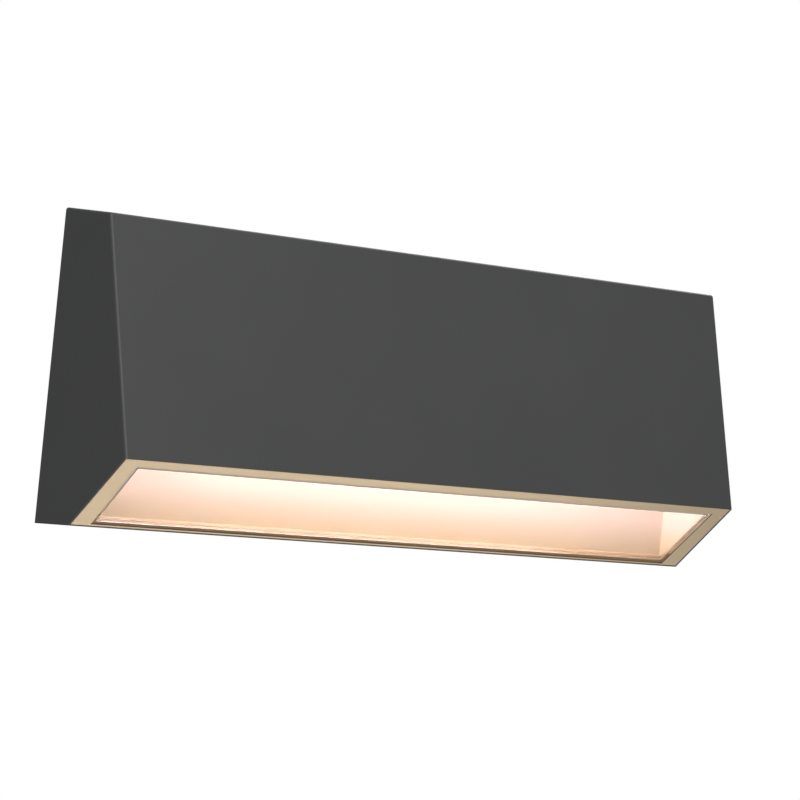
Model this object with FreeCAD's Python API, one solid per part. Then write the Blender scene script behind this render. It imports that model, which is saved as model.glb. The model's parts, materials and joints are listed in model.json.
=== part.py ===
import FreeCAD, Part
import math
import os

from FreeCAD import Placement, Rotation, Vector

os.makedirs("parts", exist_ok=True)

# A wedge-shaped wall light, in millimetres. X runs along the light, the wall is the plane y = 0
# and the light stands out towards -Y, and z = 0 is halfway up. Places are given as x, as depth
# from the wall and as rise above the lowest edge.

# Housing
length = 300.0
height = 120.0
top_depth = 31.0
mouth_front_depth = 57.9
mouth_front_rise = 29.1
mouth_rear_depth = 23.4
draft_angle = 3.0
end_draft_angle = 2.8
wall = 2.5
edge_radius = 1.2
knife_edge = 0.7
ledge_thickness = 4.0
overrun = 1.0

# Fixings: shank radius, head radius, head height and socket radius of each screw size
screw_gap = 0.05
small_shank_radius = 1.25
small_head_radius = 2.3
small_head_height = 1.5
small_socket_radius = 0.9
medium_shank_radius = 1.5
medium_head_radius = 2.8
medium_head_height = 1.8
medium_socket_radius = 1.15
large_shank_radius = 2.0
large_head_radius = 3.5
large_head_height = 2.4
large_socket_radius = 1.45
socket_depth_share = 0.6

# Outlet frame, in the plane of the mouth
window_end_band = 10.1
front_rail = 4.3
rear_rail = 1.0
frame_depth = 5.5
frame_gap = 0.15
frame_boss_radius = 2.1
frame_boss_gap = 0.2
frame_boss_height = 2.8
frame_boss_inset = 3.0
frame_screw_web = 1.8
frame_screw_length = 6.2
frame_screw_shares = (0.25, 0.78)
frame_gasket_thickness = 0.8
frame_gasket_margin = 0.2

# Glass, bonded into the reflector's mouth, and its seal
glass_recess = 0.5
glass_thickness = 3.0
seal_thickness = 0.4
seal_step = 0.2

# Reflector
reflector_wall = 1.0
reflector_gap = 0.2
reflector_recess = 0.3
chamber_rear_depth = 22.4
chamber_straight_length = 10.7
chamber_roof_share = 0.4917
chamber_front_gap = 2.28
roof_window_end_gap = 11.9
roof_window_margin = 4.3
ear_depth = 10.0
ear_thickness = 3.0

# Lamp: diffuser, LEDs, board, pad and carrier
diffuser_end_gap = 6.9
diffuser_margin = 1.3
diffuser_thickness = 2.0
lamp_gap = 0.9
led_size = 3.0
led_height = 0.7
led_count = 24
board_end_gap = 9.9
board_margin = 2.3
board_row_inset = 4.0
board_thickness = 1.6
pad_thickness = 0.3
pad_margin = 0.5
carrier_end_gap = 5.4
carrier_front_gap = 0.62
carrier_upright = 11.0
carrier_thickness = 3.0
carrier_radius = 1.5
fin_height = 6.0
fin_thickness = 1.5
fin_pitch_share = 0.338
carrier_screw_inset = 34.6
carrier_screw_climb = 9.5
carrier_screw_length = 4.5
board_screw_count = 4
board_screw_inset = 4.5
board_screw_length = 4.4
reflector_screw_length = 6.0

# Gear tray
tray_front_depth = 20.2
tray_thickness = 1.5
tray_end_gap = 5.0
tray_foot_gap = 0.2
tray_top_gap = 12.0
tray_corner_radius = 6.0
pillar_radius = 4.0
pillar_inset = 12.0
pillar_shares = (0.345, 0.931)
tray_screw_length = 9.0

# Driver
driver_length = 96.0
driver_height = 40.0
driver_thickness = 14.0
driver_centre_share = -0.214
driver_top_gap = 11.0
driver_wall = 1.5
driver_radius = 2.0
driver_ear_length = 8.0
driver_ear_height = 12.0
driver_ear_thickness = 3.0
driver_screw_length = 5.2
driver_board_margin = 2.5
driver_board_thickness = 1.6
driver_post_height = 0.8
driver_post_radius = 2.0
driver_post_inset = 8.0

# Terminal block
terminal_centre_share = 0.4207
terminal_pitch = 8.0
terminal_width = 26.0
terminal_height = 20.0
terminal_thickness = 13.0
terminal_climb = 16.0
terminal_ear_length = 6.0
terminal_ear_height = 8.0
terminal_ear_thickness = 3.0
terminal_screw_length = 5.2
terminal_hole_radius = 1.4
terminal_hole_length = 8.0
terminal_hole_offset = 4.2
button_width = 4.0
button_height = 8.0
button_length = 6.2
button_stand = 1.5
button_travel = 1.0
button_gap = 0.3
button_radius = 0.6

# Leads
lead_radius = 1.1
lead_hole_gap = 0.25
lead_entry = 3.0
live_climb = 10.0
neutral_climb = 5.0
earth_turn_drop = 7.0
earth_column_offset = 23.0
earth_run_length = 14.0
lamp_lead_room = 13.0
lamp_lead_spacing = 4.0
lamp_lead_drop = 6.0
lamp_lead_climb = 30.0
lamp_lead_depth = 12.0
lamp_lead_inset = 3.3
mains_bend_radius = 5.0
earth_bend_radius = 6.0
lamp_bend_radius = 6.5
solder_radius = 1.6
solder_height = 1.0

# Lead grommet in the tray
lead_grommet_radius = 6.0
lead_grommet_lip = 2.0
lead_grommet_bore = 4.5
lead_grommet_gap = 0.5

# Earth lug
lug_thickness = 0.8
lug_radius = 4.0
lug_barrel_radius = 2.0
lug_barrel_length = 8.0
lug_drop = 14.0
earth_screw_length = 6.5

# Wall bracket and its gasket
bracket_end_gap = 35.0
bracket_thickness = 1.5
bracket_flange = 12.0
bracket_radius = 3.0
bracket_low_rise = 7.0
bracket_top_gap = 3.4
gasket_thickness = 1.0
gasket_margin = 5.0
slot_inset = 25.0
slot_width = 5.2
slot_length = 14.0
cable_hole_drop = 28.6
cable_hole_radius = 10.0
cable_grommet_lip = 2.5
cable_grommet_front = 2.0
cable_grommet_bore = 5.0

# What holds the housing on the bracket
pad_length = 20.0
pad_gap = 0.05
set_screw_depth = 6.5
set_screw_length = 6.0
set_screw_gap = 0.05
set_screw_boss_radius = 4.5
set_screw_boss_gap = 1.0
set_screw_socket_depth = 2.5

# Derived places: the housing and its mouth
draft = math.tan(math.radians(draft_angle))
end_draft = math.tan(math.radians(end_draft_angle))
top_front_rise = height - draft * top_depth
mouth_rear_rise = draft * mouth_rear_depth
mouth_run = mouth_front_depth - mouth_rear_depth
mouth_climb = mouth_front_rise - mouth_rear_rise
mouth_width = math.hypot(mouth_run, mouth_climb)
mouth_angle = math.degrees(math.atan2(mouth_climb, mouth_run))
along_cos = mouth_run / mouth_width
along_sin = mouth_climb / mouth_width
front_slope = (mouth_front_depth - top_depth) / (top_front_rise - mouth_front_rise)
window_front = knife_edge + front_rail
window_rear = mouth_width - knife_edge - rear_rail
window_half = length / 2 - window_end_band
ledge_start = frame_depth + frame_gasket_thickness
ledge_end = ledge_start + ledge_thickness
frame_boss_place = window_half + frame_boss_inset
mouth_skin = reflector_gap + reflector_wall


def front_inner_depth(rise):
    """Depth of the front wall's inner face."""
    return top_depth + (top_front_rise - rise) * front_slope - wall * math.hypot(1, front_slope)


# Derived places: the chamber and the lamp
chamber_roof_rise = chamber_roof_share * height
chamber_roof_depth = front_inner_depth(chamber_roof_rise) - reflector_wall - chamber_front_gap
chamber_run = chamber_roof_depth - chamber_rear_depth
roof_window_length = 2 * (window_half - roof_window_end_gap)
roof_window_depth = chamber_run - 2 * roof_window_margin
diffuser_length = 2 * (window_half - diffuser_end_gap)
diffuser_depth = chamber_run - 2 * diffuser_margin
board_length = 2 * (window_half - board_end_gap)
board_depth = chamber_run - 2 * board_margin
board_centre_depth = chamber_rear_depth + chamber_run / 2
led_pitch = (board_length - 2 * board_row_inset) / led_count
board_screw_spacing = (board_length - 2 * board_row_inset) / (board_screw_count - 1)
board_screw_depth = board_centre_depth - board_depth / 2 + board_screw_inset
lamp_lead_front_depth = board_centre_depth - board_depth / 2 + lamp_lead_inset
carrier_rise = chamber_roof_rise + reflector_wall + diffuser_thickness + lamp_gap
carrier_rise += led_height + board_thickness + pad_thickness
board_top_rise = carrier_rise - pad_thickness
board_low_rise = board_top_rise - board_thickness
carrier_length = length - 2 * carrier_end_gap
carrier_leg_rise = carrier_rise + carrier_thickness
carrier_high_rise = carrier_leg_rise + carrier_upright
carrier_front_depth = front_inner_depth(carrier_leg_rise) - carrier_front_gap
carrier_screw_spacing = carrier_length / 2 - carrier_screw_inset
carrier_screw_rise = carrier_rise + carrier_screw_climb
fin_pitch = fin_pitch_share * (carrier_front_depth - lamp_lead_front_depth)

# Derived places: the tray and what it carries
tray_rear_depth = tray_front_depth - tray_thickness
tray_foot = (mouth_front_depth - along_sin * ledge_end - tray_front_depth) / along_cos
tray_low_rise = mouth_front_rise - along_sin * tray_foot + along_cos * ledge_end + tray_foot_gap
tray_high_rise = height - tray_top_gap
tray_half = length / 2 - tray_end_gap
pillar_rise = tray_high_rise - pillar_inset
driver_low_depth = tray_rear_depth - driver_thickness
driver_low_rise = carrier_screw_rise - driver_top_gap - driver_height
driver_centre = driver_centre_share * tray_half
driver_left = driver_centre - driver_length / 2
driver_right = driver_centre + driver_length / 2
terminal_centre = terminal_centre_share * tray_half
terminal_low_depth = tray_rear_depth - terminal_thickness
terminal_low_rise = driver_low_rise + terminal_climb
terminal_high_rise = terminal_low_rise + terminal_height
terminal_hole_depth = tray_rear_depth - terminal_hole_offset
terminal_places = [terminal_centre + terminal_pitch * step for step in (-1, 0, 1)]
live_rise = driver_low_rise + live_climb
neutral_rise = driver_low_rise + neutral_climb
earth_column = terminal_centre + earth_column_offset
lug_barrel_rise = pillar_rise - lug_drop

# Derived places: the lamp's leads, which pass between two LEDs beyond the driver's end
lead_grommet_place = -math.ceil((lamp_lead_room - driver_left) / led_pitch) * led_pitch
lamp_lead_places = [lead_grommet_place + side * lamp_lead_spacing / 2 for side in (1, -1)]
lamp_lead_rise = driver_low_rise + lamp_lead_climb
lamp_lead_rises = (lamp_lead_rise, lamp_lead_rise - lamp_lead_drop)
lamp_lead_top_rise = carrier_high_rise + lead_grommet_gap + lead_grommet_radius + lead_grommet_lip

# Derived places: the wall bracket
bracket_half = length / 2 - bracket_end_gap
bracket_high_rise = height - bracket_top_gap
bracket_front_depth = gasket_thickness + bracket_thickness
slot_place = bracket_half - slot_inset
cable_hole_rise = bracket_high_rise - cable_hole_drop


# Shapes placed by x, depth and rise


def spot(x, depth, rise):
    return Vector(x, -depth, rise - height / 2)


def block(x_span, depth_span, rise_span):
    size = [abs(high - low) for low, high in (x_span, depth_span, rise_span)]
    corner = spot(min(x_span), max(depth_span), min(rise_span))
    return Part.makeBox(*size, corner)


def rod(start, end, radius):
    return Part.makeCylinder(radius, (end - start).Length, start, end - start)


def prism(outline, half_length):
    points = [spot(-half_length, depth, rise) for depth, rise in outline]
    face = Part.Face(Part.makePolygon(points + points[:1]))
    return face.extrude(Vector(2 * half_length, 0, 0))


def inset(outline, shifts):
    """The outline with each edge moved inwards by its own shift."""
    count = len(outline)
    area = sum(
        outline[i][0] * outline[(i + 1) % count][1] - outline[(i + 1) % count][0] * outline[i][1]
        for i in range(count)
    )
    turn = math.copysign(1, area)
    lines = []
    for i in range(count):
        (x0, y0), (x1, y1) = outline[i], outline[(i + 1) % count]
        run = math.hypot(x1 - x0, y1 - y0)
        normal = (-(y1 - y0) / run * turn, (x1 - x0) / run * turn)
        lines.append((*normal, normal[0] * x0 + normal[1] * y0 + shifts[i]))
    points = []
    for i in range(count):
        a, b, c = lines[i - 1]
        p, q, r = lines[i]
        cross = a * q - p * b
        points.append(((c * q - r * b) / cross, (a * r - p * c) / cross))
    return points


def joined(shapes):
    first, *others = shapes
    return first.fuse(others).removeSplitter()


def group(shapes):
    return Part.makeCompound(shapes)


def save(node, shape):
    shape.exportStep("parts/" + node + ".step")


# Shapes placed in the mouth: x along the light, s from the mouth's front edge to its rear edge
# and n inwards from its plane


def at_mouth(shape):
    moved = shape.copy()
    turn = Rotation(Vector(1, 0, 0), -mouth_angle)
    place = Placement(spot(0, mouth_front_depth, mouth_front_rise), turn)
    moved.Placement = place.multiply(moved.Placement)
    return moved


def mouth_section(s, n):
    """Depth and rise of a place in the mouth."""
    depth = mouth_front_depth - along_cos * s - along_sin * n
    rise = mouth_front_rise - along_sin * s + along_cos * n
    return depth, rise


def mouth_window(half, s_span, n_span):
    low, high = s_span
    return Part.makeBox(2 * half, high - low, n_span[1] - n_span[0], Vector(-half, low, n_span[0]))


def mouth_plate(margin, n_span):
    """A plate that follows the housing's edge at the mouth, narrower by the margin all round."""
    corners = []
    for s in (margin, mouth_width - margin):
        depth = mouth_front_depth - along_cos * s
        corners.append((length / 2 - end_draft * depth - margin, s))
    (front_half, front), (rear_half, rear) = corners
    points = [
        Vector(-front_half, front, n_span[0]),
        Vector(front_half, front, n_span[0]),
        Vector(rear_half, rear, n_span[0]),
        Vector(-rear_half, rear, n_span[0]),
    ]
    face = Part.Face(Part.makePolygon(points + points[:1]))
    return face.extrude(Vector(0, 0, n_span[1] - n_span[0]))


def frame_boss_spots():
    places = [window_front + share * (window_rear - window_front) for share in frame_screw_shares]
    return [(side * frame_boss_place, s) for side in (-1, 1) for s in places]


def mouth_rod(x, s, n_span, radius):
    return Part.makeCylinder(radius, n_span[1] - n_span[0], Vector(x, s, n_span[0]))


# Screws


def screw(seat, direction, length_below, sizes):
    """A button head on the seat with a hexagon socket, and its shank along the direction."""
    shank_radius, head_radius, head_height, socket_radius = sizes
    way = Vector(direction).normalize()
    head = rod(seat, seat - way * head_height, head_radius)
    top_edges = [e for e in head.Edges if e.Closed and (e.CenterOfMass - seat).Length > head_height / 2]
    head = head.makeFillet(head_height / 2, top_edges)
    shank = rod(seat, seat + way * length_below, shank_radius)
    tip = [e for e in shank.Edges if e.Closed and (e.CenterOfMass - seat).Length > length_below / 2]
    shank = shank.makeChamfer(shank_radius / 3, tip)
    socket = hexagon_rod(seat - way * head_height, way, socket_radius, head_height * socket_depth_share)
    return joined([head, shank]).cut(socket)


def hexagon_rod(start, direction, radius, depth):
    wire = Part.makePolygon([
        Vector(radius * math.cos(math.pi * step / 3), radius * math.sin(math.pi * step / 3), 0)
        for step in range(7)
    ])
    solid = Part.Face(wire).extrude(Vector(0, 0, depth))
    solid.Placement = Placement(start, Rotation(Vector(0, 0, 1), direction))
    return solid


small_screw = (small_shank_radius, small_head_radius, small_head_height, small_socket_radius)
medium_screw = (medium_shank_radius, medium_head_radius, medium_head_height, medium_socket_radius)
large_screw = (large_shank_radius, large_head_radius, large_head_height, large_socket_radius)


# Housing


def housing_outline():
    return [
        (0, height),
        (top_depth, top_front_rise),
        (mouth_front_depth, mouth_front_rise),
        (mouth_rear_depth, mouth_rear_rise),
        (0, 0),
    ]


def trimmed_by_ends(shape, inward):
    """The shape between two end planes with the casting's draft, moved inwards by a wall."""
    reach = mouth_front_depth + wall
    half = length / 2 - inward
    points = []
    for side, depth in ((-1, -wall), (1, -wall), (1, reach), (-1, reach)):
        points.append(spot(side * (half - end_draft * depth), depth, -height))
    plan = Part.Face(Part.makePolygon(points + points[:1]))
    return shape.common(plan.extrude(Vector(0, 0, 3 * height)))


def housing_blank():
    solid = trimmed_by_ends(prism(housing_outline(), length), 0)
    sharp = []
    for edge in solid.Edges:
        ends = [vertex.Point for vertex in edge.Vertexes]
        on_wall = all(abs(point.y) < edge_radius for point in ends)
        at_foot = all(point.z < mouth_front_rise - height / 2 + edge_radius for point in ends)
        if not on_wall and not at_foot:
            sharp.append(edge)
    return solid.makeFillet(edge_radius, sharp)


def pillar_spots():
    return [(side * share * tray_half, pillar_rise) for side in (-1, 1) for share in pillar_shares]


def housing():
    blank = housing_blank()
    inner = inset(housing_outline(), [wall, wall, -wall, wall, -overrun])
    cavity = trimmed_by_ends(prism(inner, length), wall)
    shell = blank.cut(cavity)
    ledge = at_mouth(mouth_window(length, (-mouth_width, 2 * mouth_width), (ledge_start, ledge_end)))
    extras = [ledge]
    for x, rise in pillar_spots():
        extras.append(rod(spot(x, tray_front_depth, rise), spot(x, mouth_front_depth, rise), pillar_radius))
    for side in (-1, 1):
        pad_span = (side * slot_place - pad_length / 2, side * slot_place + pad_length / 2)
        pad_depths = (gasket_thickness, gasket_thickness + bracket_flange)
        extras.append(block(pad_span, pad_depths, (bracket_high_rise + pad_gap, height)))
        boss_low = spot(side * slot_place, set_screw_depth, 0)
        boss_high = spot(side * slot_place, set_screw_depth, bracket_low_rise - set_screw_boss_gap)
        extras.append(rod(boss_low, boss_high, set_screw_boss_radius))
    solid = joined([shell] + [extra.common(blank) for extra in extras])
    cuts = [
        at_mouth(mouth_plate(knife_edge, (-overrun, ledge_start))),
        at_mouth(mouth_window(window_half, (window_front, window_rear), (0, ledge_end + overrun))),
    ]
    pocket_end = ledge_end - frame_screw_web
    for x, s in frame_boss_spots():
        cuts.append(at_mouth(mouth_rod(x, s, (0, pocket_end), frame_boss_radius + frame_boss_gap)))
        cuts.append(at_mouth(mouth_rod(x, s, (0, ledge_end + overrun), small_shank_radius + screw_gap)))
    for x, rise in pillar_spots():
        start = spot(x, tray_front_depth, rise)
        cuts.append(rod(start, start + Vector(0, -tray_screw_length, 0), medium_shank_radius + screw_gap))
    for side in (-1, 1):
        low = spot(side * slot_place, set_screw_depth, -overrun)
        high = spot(side * slot_place, set_screw_depth, bracket_low_rise)
        cuts.append(rod(low, high, large_shank_radius + screw_gap))
    return solid.cut(cuts)


# Outlet frame, its gasket and screws


def outlet_frame():
    plate = mouth_plate(knife_edge + frame_gap, (0, frame_depth))
    bosses = [
        mouth_rod(x, s, (frame_depth, frame_depth + frame_boss_height), frame_boss_radius)
        for x, s in frame_boss_spots()
    ]
    solid = joined([plate] + bosses)
    window = mouth_window(window_half, (window_front, window_rear), (-overrun, frame_depth + overrun))
    cuts = [window]
    low = ledge_end - frame_screw_length
    for x, s in frame_boss_spots():
        cuts.append(mouth_rod(x, s, (low, ledge_end), small_shank_radius + screw_gap))
    return at_mouth(solid.cut(cuts))


def frame_gasket():
    plate = mouth_plate(knife_edge + frame_gap + frame_gasket_margin, (frame_depth, ledge_start))
    margin = frame_gasket_margin
    cuts = [
        mouth_window(
            window_half + margin,
            (window_front - margin, window_rear + margin),
            (frame_depth - overrun, ledge_start + overrun),
        )
    ]
    boss_span = (frame_depth - overrun, ledge_start + overrun)
    for x, s in frame_boss_spots():
        cuts.append(mouth_rod(x, s, boss_span, frame_boss_radius + frame_boss_gap))
    return at_mouth(plate.cut(cuts))


def frame_screws():
    screws = []
    for x, s in frame_boss_spots():
        seat = Vector(x, s, ledge_end)
        screws.append(at_mouth(screw(seat, Vector(0, 0, -1), frame_screw_length, small_screw)))
    return group(screws)


# Glass


def mouth_pane(margin, n_span):
    """A plate in the reflector's mouth, smaller than the mouth by the margin all round."""
    rim = mouth_skin + margin
    return mouth_window(window_half - rim, (window_front + rim, window_rear - rim), n_span)


def outlet_glass():
    return at_mouth(mouth_pane(seal_thickness, (glass_recess, glass_recess + glass_thickness)))


def glass_seal():
    low, high = glass_recess + seal_step, glass_recess + glass_thickness - seal_step
    bead = mouth_pane(0, (low, high))
    return at_mouth(bead.cut(mouth_pane(seal_thickness, (low - overrun, high + overrun))))


# Reflector


def chamber_outline():
    """The light chamber from the rear of its mouth up and over to the front of its mouth."""
    front = window_front + mouth_skin
    rear = window_rear - mouth_skin
    kick = (mouth_section(rear, 0)[0] - chamber_rear_depth) / along_sin
    return [
        mouth_section(rear, reflector_recess),
        mouth_section(rear, kick),
        (chamber_rear_depth, chamber_roof_rise),
        (chamber_roof_depth, chamber_roof_rise),
        mouth_section(front, reflector_recess + chamber_straight_length),
        mouth_section(front, reflector_recess),
    ]


def reflector():
    skin = reflector_wall
    inner = chamber_outline()
    rim = carrier_rise - chamber_roof_rise
    outer = inset(inner, [-skin, -skin, -rim, -skin, -skin, 0])
    half = window_half - reflector_gap
    body = prism(outer, half)
    opened = inset(inner, [0, 0, 0, 0, 0, -overrun])
    cuts = [prism(opened, half - skin)]
    upper = (chamber_roof_rise + skin, carrier_rise + overrun)
    cuts.append(block((skin - half, half - skin), (chamber_rear_depth, chamber_roof_depth - skin), upper))
    window = (board_centre_depth - roof_window_depth / 2, board_centre_depth + roof_window_depth / 2)
    roof = (chamber_roof_rise - overrun, chamber_roof_rise + skin + overrun)
    cuts.append(block((-roof_window_length / 2, roof_window_length / 2), window, roof))
    body = body.cut(cuts)
    ear_low = carrier_rise - ear_thickness
    ear_depths = (board_centre_depth - ear_depth / 2, board_centre_depth + ear_depth / 2)
    ears = []
    for side in (-1, 1):
        ear_span = (side * (half - skin / 2), side * carrier_length / 2)
        ears.append(block(ear_span, ear_depths, (ear_low, carrier_rise)))
    holes = []
    for x in reflector_screw_places():
        low = spot(x, board_centre_depth, ear_low - overrun)
        high = spot(x, board_centre_depth, carrier_rise + overrun)
        holes.append(rod(low, high, small_shank_radius + screw_gap))
    return joined([body] + ears).cut(holes)


def reflector_screw_places():
    half = window_half - reflector_gap
    return [side * (half + carrier_length / 2) / 2 for side in (-1, 1)]


def reflector_screws():
    rise = carrier_rise - ear_thickness
    seats = [spot(x, board_centre_depth, rise) for x in reflector_screw_places()]
    return group([screw(seat, Vector(0, 0, 1), reflector_screw_length, small_screw) for seat in seats])


# Lamp


def diffuser():
    low = chamber_roof_rise + reflector_wall
    depths = (board_centre_depth - diffuser_depth / 2, board_centre_depth + diffuser_depth / 2)
    return block((-diffuser_length / 2, diffuser_length / 2), depths, (low, low + diffuser_thickness))


def led_chips():
    depths = (board_centre_depth - led_size / 2, board_centre_depth + led_size / 2)
    chips = []
    for step in range(led_count):
        centre = (step - (led_count - 1) / 2) * led_pitch
        span = (centre - led_size / 2, centre + led_size / 2)
        chips.append(block(span, depths, (board_low_rise - led_height, board_low_rise)))
    return group(chips)


def board_screw_spots(rise):
    middle = (board_screw_count - 1) / 2
    places = [(step - middle) * board_screw_spacing for step in range(board_screw_count)]
    return [spot(x, board_screw_depth, rise) for x in places]


def lamp_holes(low_rise, high_rise):
    """Screw and lead holes through the board, the pad and the carrier's leg."""
    holes = []
    for start in board_screw_spots(low_rise):
        holes.append(rod(start, start + Vector(0, 0, high_rise - low_rise), small_shank_radius + screw_gap))
    for x in lamp_lead_places:
        low = spot(x, lamp_lead_front_depth, low_rise)
        high = spot(x, lamp_lead_front_depth, high_rise)
        holes.append(rod(low, high, lead_radius + lead_hole_gap))
    return holes


def led_board():
    depths = (board_centre_depth - board_depth / 2, board_centre_depth + board_depth / 2)
    plate = block((-board_length / 2, board_length / 2), depths, (board_low_rise, board_top_rise))
    return plate.cut(lamp_holes(board_low_rise - overrun, board_top_rise + overrun))


def thermal_pad():
    half = board_length / 2 - pad_margin
    reach = board_depth / 2 - pad_margin
    depths = (board_centre_depth - reach, board_centre_depth + reach)
    plate = block((-half, half), depths, (board_top_rise, carrier_rise))
    return plate.cut(lamp_holes(board_top_rise - overrun, carrier_rise + overrun))


def led_board_screws():
    seats = board_screw_spots(board_low_rise)
    return group([screw(seat, Vector(0, 0, 1), board_screw_length, small_screw) for seat in seats])


def led_solder_joints():
    joints = []
    for x in lamp_lead_places:
        top = spot(x, lamp_lead_front_depth, board_low_rise)
        joints.append(Part.makeCone(solder_radius, lead_radius, solder_height, top, Vector(0, 0, -1)))
    return group(joints)


def carrier_screw_spots(depth):
    return [spot(step * carrier_screw_spacing, depth, carrier_screw_rise) for step in (-1, 0, 1)]


def led_carrier():
    half = carrier_length / 2
    leg_high = carrier_leg_rise
    leg = block((-half, half), (tray_front_depth, carrier_front_depth), (carrier_rise, leg_high))
    upright_span = (tray_front_depth, tray_front_depth + carrier_thickness)
    upright = block((-half, half), upright_span, (carrier_rise, carrier_high_rise))
    fins = []
    for step in (1, 2):
        rear = carrier_front_depth - step * fin_pitch
        fins.append(block((-half, half), (rear, rear + fin_thickness), (carrier_rise, leg_high + fin_height)))
    solid = joined([leg, upright] + fins)
    corner = [
        edge
        for edge in solid.Edges
        if edge.Length > carrier_length - overrun
        and abs(edge.CenterOfMass.y + tray_front_depth + carrier_thickness) < screw_gap
        and abs(edge.CenterOfMass.z + height / 2 - leg_high) < screw_gap
    ]
    solid = solid.makeFillet(carrier_radius, corner)
    cuts = lamp_holes(carrier_rise - overrun, leg_high + overrun)
    for x in reflector_screw_places():
        low = spot(x, board_centre_depth, carrier_rise - overrun)
        high = spot(x, board_centre_depth, leg_high + overrun)
        cuts.append(rod(low, high, small_shank_radius + screw_gap))
    for start in carrier_screw_spots(tray_rear_depth):
        end = start + Vector(0, -2 * carrier_screw_length, 0)
        cuts.append(rod(start, end, medium_shank_radius + screw_gap))
    return solid.cut(cuts)


# Gear tray and what holds it


def tray_holes():
    """Every place where a screw goes through the tray, with its shank's radius."""
    places = [(x, rise, medium_shank_radius) for x, rise in pillar_spots()]
    places += [(step * carrier_screw_spacing, carrier_screw_rise, medium_shank_radius) for step in (-1, 0, 1)]
    places += [(x, driver_screw_rise(), small_shank_radius) for x in driver_screw_places()]
    places += [(x, terminal_screw_rise(), small_shank_radius) for x in terminal_screw_places()]
    places.append((earth_column, pillar_rise, large_shank_radius))
    return places


def gear_tray():
    span = (-tray_half, tray_half)
    plate = block(span, (tray_rear_depth, tray_front_depth), (tray_low_rise, tray_high_rise))
    corners = [edge for edge in plate.Edges if edge.Length < tray_thickness + screw_gap]
    plate = plate.makeFillet(tray_corner_radius, corners)
    cuts = []
    for x, rise, radius in tray_holes():
        low = spot(x, tray_rear_depth - overrun, rise)
        high = spot(x, tray_front_depth + overrun, rise)
        cuts.append(rod(low, high, radius + screw_gap))
    low = spot(lead_grommet_place, tray_rear_depth - overrun, lamp_lead_top_rise)
    high = spot(lead_grommet_place, tray_front_depth + overrun, lamp_lead_top_rise)
    cuts.append(rod(low, high, lead_grommet_radius))
    return plate.cut(cuts)


def tray_screws():
    seats = [spot(x, tray_rear_depth, rise) for x, rise in pillar_spots()]
    return group([screw(seat, Vector(0, -1, 0), tray_screw_length, medium_screw) for seat in seats])


def carrier_screws():
    seats = carrier_screw_spots(tray_rear_depth)
    return group([screw(seat, Vector(0, -1, 0), carrier_screw_length, medium_screw) for seat in seats])


# Driver


def driver_screw_places():
    return (driver_left - driver_ear_length / 2, driver_right + driver_ear_length / 2)


def driver_screw_rise():
    return driver_low_rise + driver_height / 2


def driver_case():
    rises = (driver_low_rise, driver_low_rise + driver_height)
    body_depths = (driver_low_depth + driver_wall, tray_rear_depth)
    body = block((driver_left, driver_right), body_depths, rises)
    uprights = [edge for edge in body.Edges if abs(edge.Vertexes[0].Y - edge.Vertexes[1].Y) > driver_wall]
    body = body.makeFillet(driver_radius, uprights)
    ear_rises = (driver_screw_rise() - driver_ear_height / 2, driver_screw_rise() + driver_ear_height / 2)
    ear_span = (driver_left - driver_ear_length, driver_right + driver_ear_length)
    ears = block(ear_span, (tray_rear_depth - driver_ear_thickness, tray_rear_depth), ear_rises)
    inner = block(
        (driver_left + driver_wall, driver_right - driver_wall),
        (body_depths[0] - overrun, tray_rear_depth - driver_wall),
        (rises[0] + driver_wall, rises[1] - driver_wall),
    )
    solid = joined([body, ears]).cut(inner)
    post_depths = (tray_rear_depth - driver_wall, driver_board_top())
    posts = [
        rod(spot(x, post_depths[0], rise), spot(x, post_depths[1], rise), driver_post_radius)
        for x, rise in driver_post_spots()
    ]
    solid = joined([solid] + posts)
    cuts = []
    for x in driver_screw_places():
        low = spot(x, driver_low_depth, driver_screw_rise())
        cuts.append(rod(low, spot(x, tray_front_depth, driver_screw_rise()), small_shank_radius + screw_gap))
    hole = lead_radius + lead_hole_gap
    for rise in (live_rise, neutral_rise):
        start = spot(driver_right + overrun, terminal_hole_depth, rise)
        cuts.append(rod(start, spot(driver_right - lead_entry, terminal_hole_depth, rise), hole))
    for rise in lamp_lead_rises:
        start = spot(driver_left - overrun, lamp_lead_depth, rise)
        cuts.append(rod(start, spot(driver_left + lead_entry, lamp_lead_depth, rise), hole))
    return solid.cut(cuts)


def driver_board_top():
    return tray_rear_depth - driver_wall - driver_post_height


def driver_post_spots():
    middle = driver_low_rise + driver_height / 2
    run = driver_length / 2 - driver_post_inset
    climb = driver_height / 2 - driver_post_inset
    return [(driver_centre + a * run, middle + b * climb) for a in (-1, 1) for b in (-1, 1)]


def driver_lid():
    rises = (driver_low_rise, driver_low_rise + driver_height)
    lid = block((driver_left, driver_right), (driver_low_depth, driver_low_depth + driver_wall), rises)
    corners = [edge for edge in lid.Edges if edge.Length < driver_wall + screw_gap]
    return lid.makeFillet(driver_radius, corners)


def driver_board():
    margin = driver_wall + driver_board_margin
    depths = (driver_board_top() - driver_board_thickness, driver_board_top())
    rises = (driver_low_rise + margin, driver_low_rise + driver_height - margin)
    return block((driver_left + margin, driver_right - margin), depths, rises)


# Places and sizes as shares of the driver board's length and height, and heights as shares of
# the room above it
driver_component_shares = (
    (0.30, 0.50, 0.20, 0.55, 0.90),
    (0.72, 0.68, 0.11, 0.32, 0.70),
    (0.90, 0.30, 0.08, 0.30, 0.60),
    (0.55, 0.28, 0.14, 0.22, 0.50),
)
driver_capacitor_share = (0.52, 0.70, 0.15, 0.80)


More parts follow.
